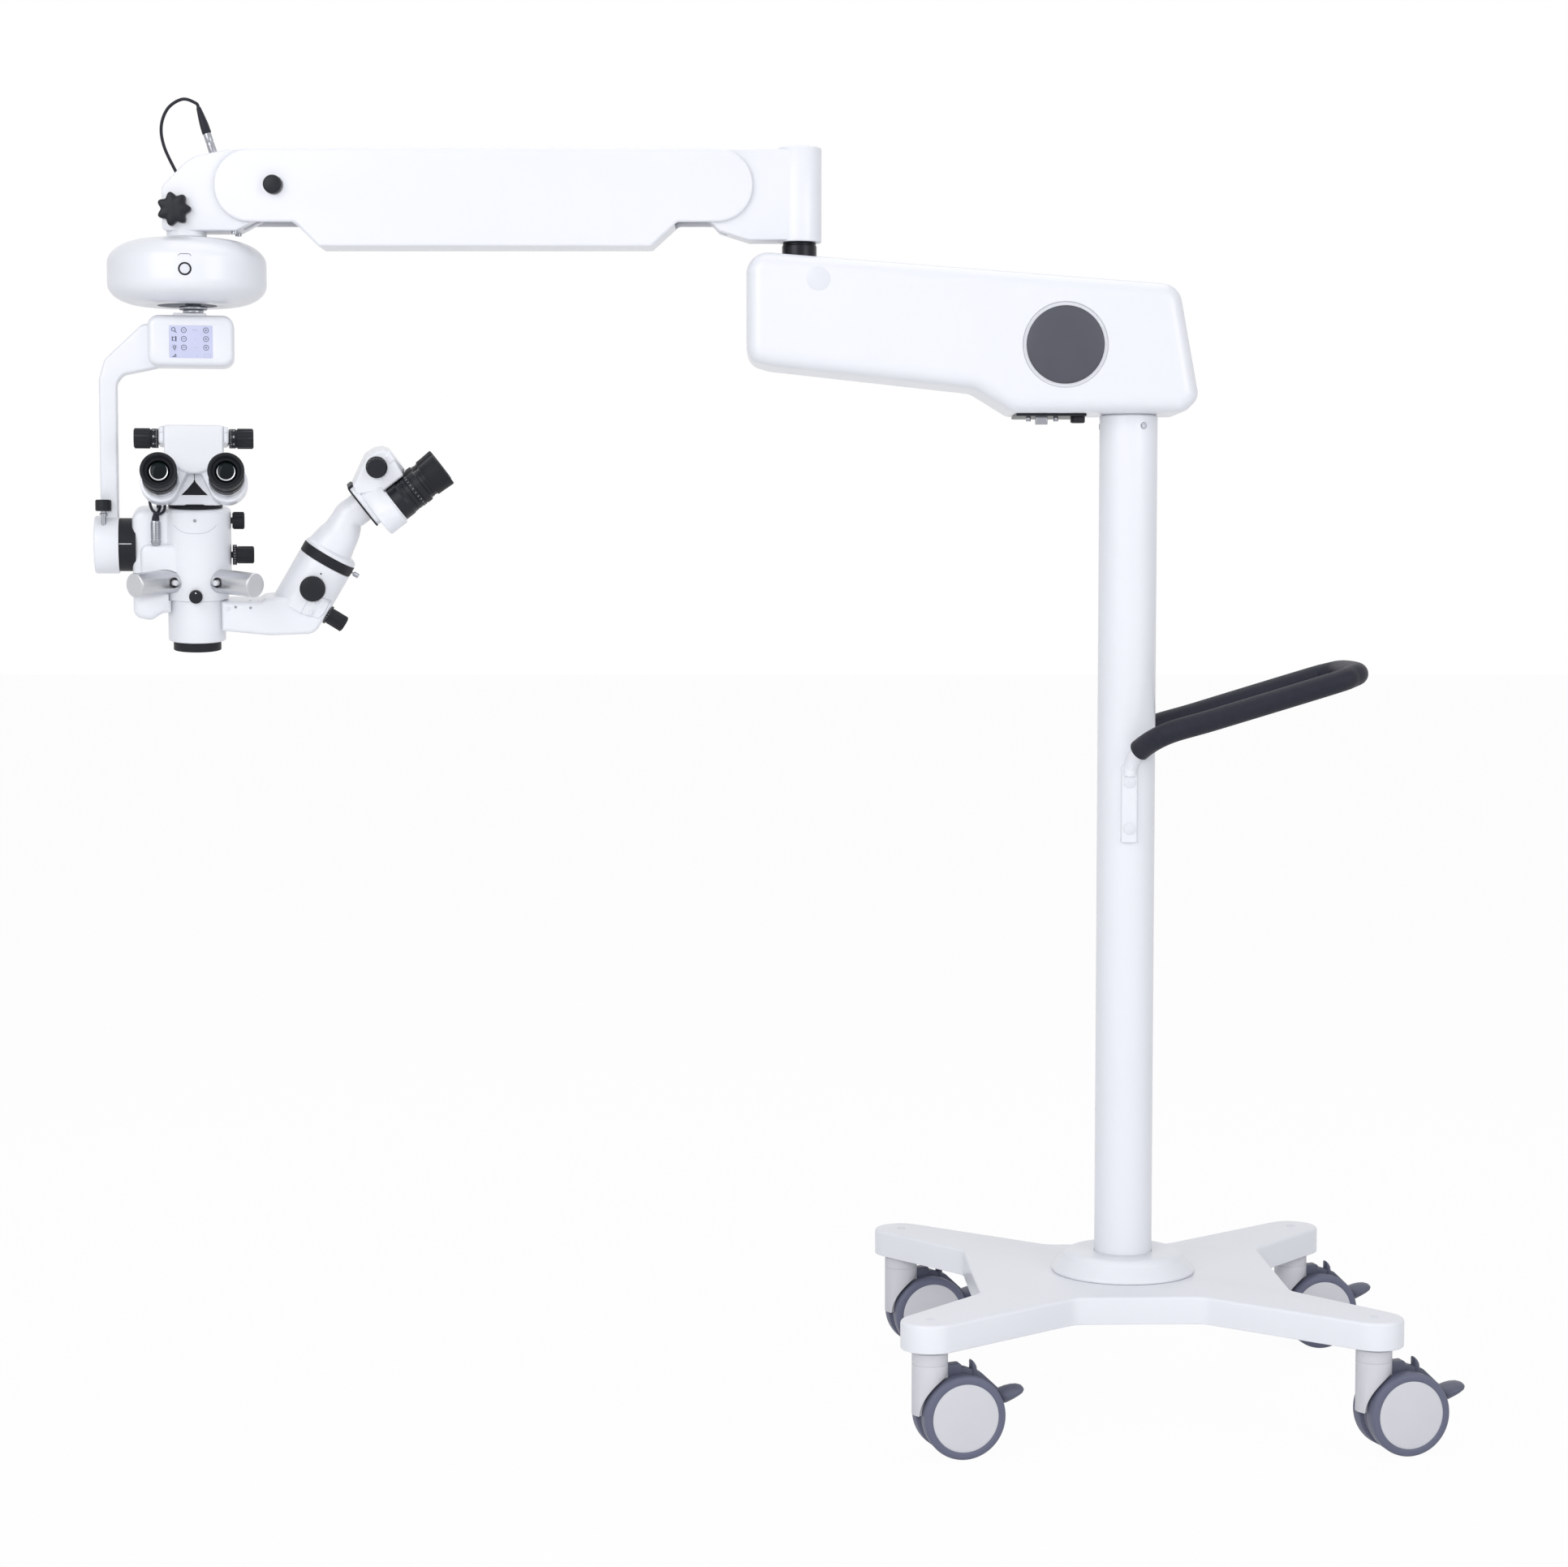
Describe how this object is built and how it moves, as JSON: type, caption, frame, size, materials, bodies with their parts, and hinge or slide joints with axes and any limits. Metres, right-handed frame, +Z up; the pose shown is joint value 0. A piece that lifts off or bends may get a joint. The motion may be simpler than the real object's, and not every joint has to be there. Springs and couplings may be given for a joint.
{
  "type": "surgical microscope",
  "caption": "Surgical microscope on a rolling floor stand, with a swinging parallel arm, a tilting binocular head and an assistant scope.",
  "frame": {"origin": "on the floor under the column's axis", "axes": "+Z up, the arms reach towards -X, the main eyepieces face -Y"},
  "size_m": [1.6754, 0.6265, 1.6317],
  "materials": {
    "white_steel": "smooth white powder coat",
    "white_casting": "white painted casting",
    "white_shell": "white semi-gloss shell",
    "caster_grey": "light grey moulding",
    "tyre_grey": "grey blue rubber",
    "black_plastic": "black semi-gloss",
    "black_steel": "black finished bar",
    "foam": "black foam",
    "satin_aluminium": "satin machined",
    "steel": "bright steel"
  },
  "bodies": {
    "stand": {"base_plate": "white_steel", "column_collar": "white_steel", "column": "white_steel", "handle_frame": "white_steel", "handle_grip": "foam"},
    "front_left_yoke": {"front_left_caster_yoke": "caster_grey"},
    "front_left_wheels": {"front_left_caster_wheels": "tyre_grey"},
    "front_left_brake": {"front_left_caster_brake": "tyre_grey"},
    "front_right_yoke": {"front_right_caster_yoke": "caster_grey"},
    "front_right_wheels": {"front_right_caster_wheels": "tyre_grey"},
    "front_right_brake": {"front_right_caster_brake": "tyre_grey"},
    "rear_right_yoke": {"rear_right_caster_yoke": "caster_grey"},
    "rear_right_wheels": {"rear_right_caster_wheels": "tyre_grey"},
    "rear_right_brake": {"rear_right_caster_brake": "tyre_grey"},
    "rear_left_yoke": {"rear_left_caster_yoke": "caster_grey"},
    "rear_left_wheels": {"rear_left_caster_wheels": "tyre_grey"},
    "rear_left_brake": {"rear_left_caster_brake": "tyre_grey"},
    "lower_arm": {"lower_arm_housing": "white_shell", "lower_arm_dome": "black_plastic", "socket_panel": "black_plastic", "elbow_post": "black_steel"},
    "rear_head": {"rear_head": "white_casting"},
    "upper_arm": {"upper_link": "satin_aluminium", "balance_spring": "steel", "side_cover_front": "white_shell", "side_cover_back": "white_shell"},
    "lower_link": {"lower_link": "satin_aluminium"},
    "balance_knob": {"balance_knob": "black_plastic"},
    "front_head": {"front_head": "white_casting", "loop_cable": "black_plastic", "loop_plug": "satin_aluminium"},
    "star_knob": {"star_knob": "black_plastic"},
    "xy_unit": {"xy_housing": "white_shell"},
    "centre_button": {"centre_button": "white_shell"},
    "xy_carriage": {"xy_carriage": "satin_aluminium"},
    "xy_spindle": {"xy_spindle": "steel"},
    "carrier": {"carrier_arm": "white_casting"},
    "tilt_lock_knob": {"tilt_lock_knob": "black_plastic"},
    "head": {"head_mount": "white_shell", "scope_body": "white_shell", "handle_left": "satin_aluminium", "handle_right": "satin_aluminium", "binocular_base": "white_shell"},
    "handle_button_left": {"handle_button_left": "white_shell"},
    "handle_button_right": {"handle_button_right": "white_shell"},
    "filter_knob": {"filter_knob": "black_plastic"},
    "zoom_knob": {"zoom_knob": "black_plastic"},
    "focus_knob": {"focus_knob": "black_plastic"},
    "eye_tube_left": {"eye_tube_left": "white_shell"},
    "eye_tube_right": {"eye_tube_right": "white_shell"},
    "ipd_knob": {"ipd_knob": "black_plastic"},
    "eyepiece_left": {"eyepiece_left": "black_plastic"},
    "eyepiece_right": {"eyepiece_right": "black_plastic"},
    "assistant_arm": {"assistant_arm": "white_shell"},
    "assistant_elbow": {"assistant_elbow": "white_shell"},
    "assistant_binocular": {"assistant_binocular": "white_shell"},
    "assistant_eyepiece_left": {"assistant_eyepiece_left": "black_plastic"},
    "assistant_eyepiece_right": {"assistant_eyepiece_right": "black_plastic"},
    "assistant_focus_knob": {"assistant_focus_knob": "black_plastic"},
    "assistant_zoom_knob": {"assistant_zoom_knob": "black_plastic"}
  },
  "joints": [
    {"name": "front_left_swivel", "type": "hinge", "parent": "stand", "child": "front_left_yoke", "pos_m": [-0.25653, -0.27127, 0], "axis": [0, 0, 1], "continuous": true},
    {"name": "front_left_spin", "type": "hinge", "parent": "front_left_yoke", "child": "front_left_wheels", "pos_m": [-0.22175, -0.26195, 0.05], "axis": [0.2588, -0.9659, 0], "continuous": true},
    {"name": "front_left_brake_press", "type": "hinge", "parent": "front_left_yoke", "child": "front_left_brake", "pos_m": [-0.19894, -0.25584, 0.07446], "axis": [0.2588, -0.9659, 0], "range_deg": [-6, 0]},
    {"name": "front_right_swivel", "type": "hinge", "parent": "stand", "child": "front_right_yoke", "pos_m": [0.27127, -0.25653, 0], "axis": [0, 0, 1], "continuous": true},
    {"name": "front_right_spin", "type": "hinge", "parent": "front_right_yoke", "child": "front_right_wheels", "pos_m": [0.30604, -0.24721, 0.05], "axis": [0.2588, -0.9659, 0], "continuous": true},
    {"name": "front_right_brake_press", "type": "hinge", "parent": "front_right_yoke", "child": "front_right_brake", "pos_m": [0.32886, -0.2411, 0.07446], "axis": [0.2588, -0.9659, 0], "range_deg": [-6, 0]},
    {"name": "rear_right_swivel", "type": "hinge", "parent": "stand", "child": "rear_right_yoke", "pos_m": [0.25653, 0.27127, 0], "axis": [0, 0, 1], "continuous": true},
    {"name": "rear_right_spin", "type": "hinge", "parent": "rear_right_yoke", "child": "rear_right_wheels", "pos_m": [0.2913, 0.28059, 0.05], "axis": [0.2588, -0.9659, 0], "continuous": true},
    {"name": "rear_right_brake_press", "type": "hinge", "parent": "rear_right_yoke", "child": "rear_right_brake", "pos_m": [0.31411, 0.2867, 0.07446], "axis": [0.2588, -0.9659, 0], "range_deg": [-6, 0]},
    {"name": "rear_left_swivel", "type": "hinge", "parent": "stand", "child": "rear_left_yoke", "pos_m": [-0.27127, 0.25653, 0], "axis": [0, 0, 1], "continuous": true},
    {"name": "rear_left_spin", "type": "hinge", "parent": "rear_left_yoke", "child": "rear_left_wheels", "pos_m": [-0.2365, 0.26584, 0.05], "axis": [0.2588, -0.9659, 0], "continuous": true},
    {"name": "rear_left_brake_press", "type": "hinge", "parent": "rear_left_yoke", "child": "rear_left_brake", "pos_m": [-0.21368, 0.27196, 0.07446], "axis": [0.2588, -0.9659, 0], "range_deg": [-6, 0]},
    {"name": "arm_swivel", "type": "hinge", "parent": "stand", "child": "lower_arm", "pos_m": [0, 0, 1.241], "axis": [0, 0, 1], "range_deg": [-160, 160]},
    {"name": "elbow_swivel", "type": "hinge", "parent": "lower_arm", "child": "rear_head", "pos_m": [-0.41, 0, 1.4535], "axis": [0, 0, 1], "range_deg": [-130, 130]},
    {"name": "lift", "type": "hinge", "parent": "rear_head", "child": "upper_arm", "pos_m": [-0.512, 0, 1.521], "axis": [0, 1, 0], "range_deg": [-25, 25]},
    {"name": "lift_follower", "type": "hinge", "parent": "rear_head", "child": "lower_link", "pos_m": [-0.512, 0, 1.489], "axis": [0, 1, 0], "range_deg": [-25, 25]},
    {"name": "head_level", "type": "hinge", "parent": "upper_arm", "child": "front_head", "pos_m": [-1.0865, 0, 1.521], "axis": [0, 1, 0], "range_deg": [-25, 25]},
    {"name": "balance_turn", "type": "hinge", "parent": "upper_arm", "child": "balance_knob", "pos_m": [-1.057, 0, 1.521], "axis": [0, -1, 0], "range_deg": [-170, 170]},
    {"name": "star_turn", "type": "hinge", "parent": "front_head", "child": "star_knob", "pos_m": [-1.179, -0.0245, 1.4915], "axis": [0, -1, 0], "range_deg": [-90, 90]},
    {"name": "xy_turn", "type": "hinge", "parent": "front_head", "child": "xy_unit", "pos_m": [-1.17, 0, 1.4597], "axis": [0, 0, 1], "range_deg": [-120, 120]},
    {"name": "centre_press", "type": "slide", "parent": "xy_unit", "child": "centre_button", "axis": [-0.1564, 0.9877, 0], "range_m": [0, 0.0015], "stiffness_N_per_m": 300},
    {"name": "stage_y", "type": "slide", "parent": "xy_unit", "child": "xy_carriage", "axis": [-0.1564, 0.9877, 0], "range_m": [-0.016, 0.016]},
    {"name": "stage_x", "type": "slide", "parent": "xy_carriage", "child": "xy_spindle", "axis": [0.9877, 0.1564, 0], "range_m": [-0.023, 0.009]},
    {"name": "carrier_turn", "type": "hinge", "parent": "xy_spindle", "child": "carrier", "pos_m": [-1.16309, 0.0011, 1.36], "axis": [0, 0, 1], "range_deg": [-160, 160]},
    {"name": "tilt_lock_turn", "type": "hinge", "parent": "carrier", "child": "tilt_lock_knob", "pos_m": [-1.26938, -0.04055, 1.12], "axis": [0, 0, 1], "range_deg": [-90, 90]},
    {"name": "head_tilt", "type": "hinge", "parent": "carrier", "child": "head", "pos_m": [-1.16309, 0.0011, 1.08], "axis": [0.9877, 0.1564, 0], "range_deg": [-45, 45]},
    {"name": "handle_press_left", "type": "slide", "parent": "head", "child": "handle_button_left", "axis": [-0.8082, 0.5826, 0.0862], "range_m": [0, 0.0015], "stiffness_N_per_m": 300},
    {"name": "handle_press_right", "type": "slide", "parent": "head", "child": "handle_button_right", "axis": [0.5886, 0.8038, 0.0862], "range_m": [0, 0.0015], "stiffness_N_per_m": 300},
    {"name": "filter_turn", "type": "hinge", "parent": "head", "child": "filter_knob", "pos_m": [-1.11954, 0.00423, 1.11027], "axis": [0.9877, 0.1564, 0], "range_deg": [-140, 140]},
    {"name": "zoom_turn", "type": "hinge", "parent": "head", "child": "zoom_knob", "pos_m": [-1.12036, 0.0094, 1.06759], "axis": [0.9877, 0.1564, 0], "range_deg": [-140, 140]},
    {"name": "focus_turn", "type": "hinge", "parent": "head", "child": "focus_knob", "pos_m": [-1.15801, -0.03096, 1.01607], "axis": [0.1553, -0.9803, -0.1219], "range_deg": [-140, 140]},
    {"name": "eye_swing_left", "type": "hinge", "parent": "head", "child": "eye_tube_left", "pos_m": [-1.16923, -0.04963, 1.18479], "axis": [0.1545, -0.9755, 0.1564], "range_deg": [0, 22]},
    {"name": "eye_swing_right", "type": "hinge", "parent": "head", "child": "eye_tube_right", "pos_m": [-1.14157, -0.04525, 1.18479], "axis": [-0.1545, 0.9755, -0.1564], "range_deg": [0, 22]},
    {"name": "ipd_turn", "type": "hinge", "parent": "head", "child": "ipd_knob", "pos_m": [-1.15602, -0.0435, 1.20998], "axis": [0.9877, 0.1564, 0], "range_deg": [0, 132]},
    {"name": "dioptre_left", "type": "hinge", "parent": "eye_tube_left", "child": "eyepiece_left", "pos_m": [-1.18792, -0.0978, 1.16048], "axis": [0.1545, -0.9755, 0.1564], "range_deg": [-90, 90]},
    {"name": "dioptre_right", "type": "hinge", "parent": "eye_tube_right", "child": "eyepiece_right", "pos_m": [-1.10891, -0.08528, 1.16048], "axis": [0.1545, -0.9755, 0.1564], "range_deg": [-90, 90]},
    {"name": "assistant_swing", "type": "hinge", "parent": "head", "child": "assistant_arm", "pos_m": [-1.16309, 0.0011, 1.08], "axis": [0.0191, -0.1204, 0.9925], "range_deg": [-15, 55]},
    {"name": "assistant_turn", "type": "hinge", "parent": "assistant_arm", "child": "assistant_elbow", "pos_m": [-1.00647, 0.02867, 1.05772], "axis": [0.5104, -0.026, 0.8596], "range_deg": [-90, 90]},
    {"name": "assistant_roll", "type": "hinge", "parent": "assistant_elbow", "child": "assistant_binocular", "pos_m": [-0.94201, 0.02845, 1.14156], "axis": [0.79, 0.0492, 0.6111], "range_deg": [-45, 45]},
    {"name": "assistant_dioptre_left", "type": "hinge", "parent": "assistant_binocular", "child": "assistant_eyepiece_left", "pos_m": [-0.89216, 0.00327, 1.14508], "axis": [0.79, 0.0492, 0.6111], "range_deg": [-90, 90]},
    {"name": "assistant_dioptre_right", "type": "hinge", "parent": "assistant_binocular", "child": "assistant_eyepiece_right", "pos_m": [-0.9021, 0.06601, 1.15288], "axis": [0.79, 0.0492, 0.6111], "range_deg": [-90, 90]},
    {"name": "assistant_focus_turn", "type": "hinge", "parent": "assistant_arm", "child": "assistant_focus_knob", "pos_m": [-1.01752, -0.00383, 1.02607], "axis": [0.1553, -0.9803, -0.1219], "range_deg": [-140, 140]},
    {"name": "assistant_zoom_turn", "type": "hinge", "parent": "assistant_arm", "child": "assistant_zoom_knob", "pos_m": [-1.00817, 0.03622, 0.99484], "axis": [0.8275, 0.1965, -0.526], "range_deg": [-140, 140]}
  ],
  "couplings": [
    {"joint": "lift_follower", "follows": "lift", "ratio": 1},
    {"joint": "head_level", "follows": "lift", "ratio": -1},
    {"joint": "eye_swing_right", "follows": "eye_swing_left", "ratio": 1},
    {"joint": "ipd_turn", "follows": "eye_swing_left", "ratio": 6}
  ]
}
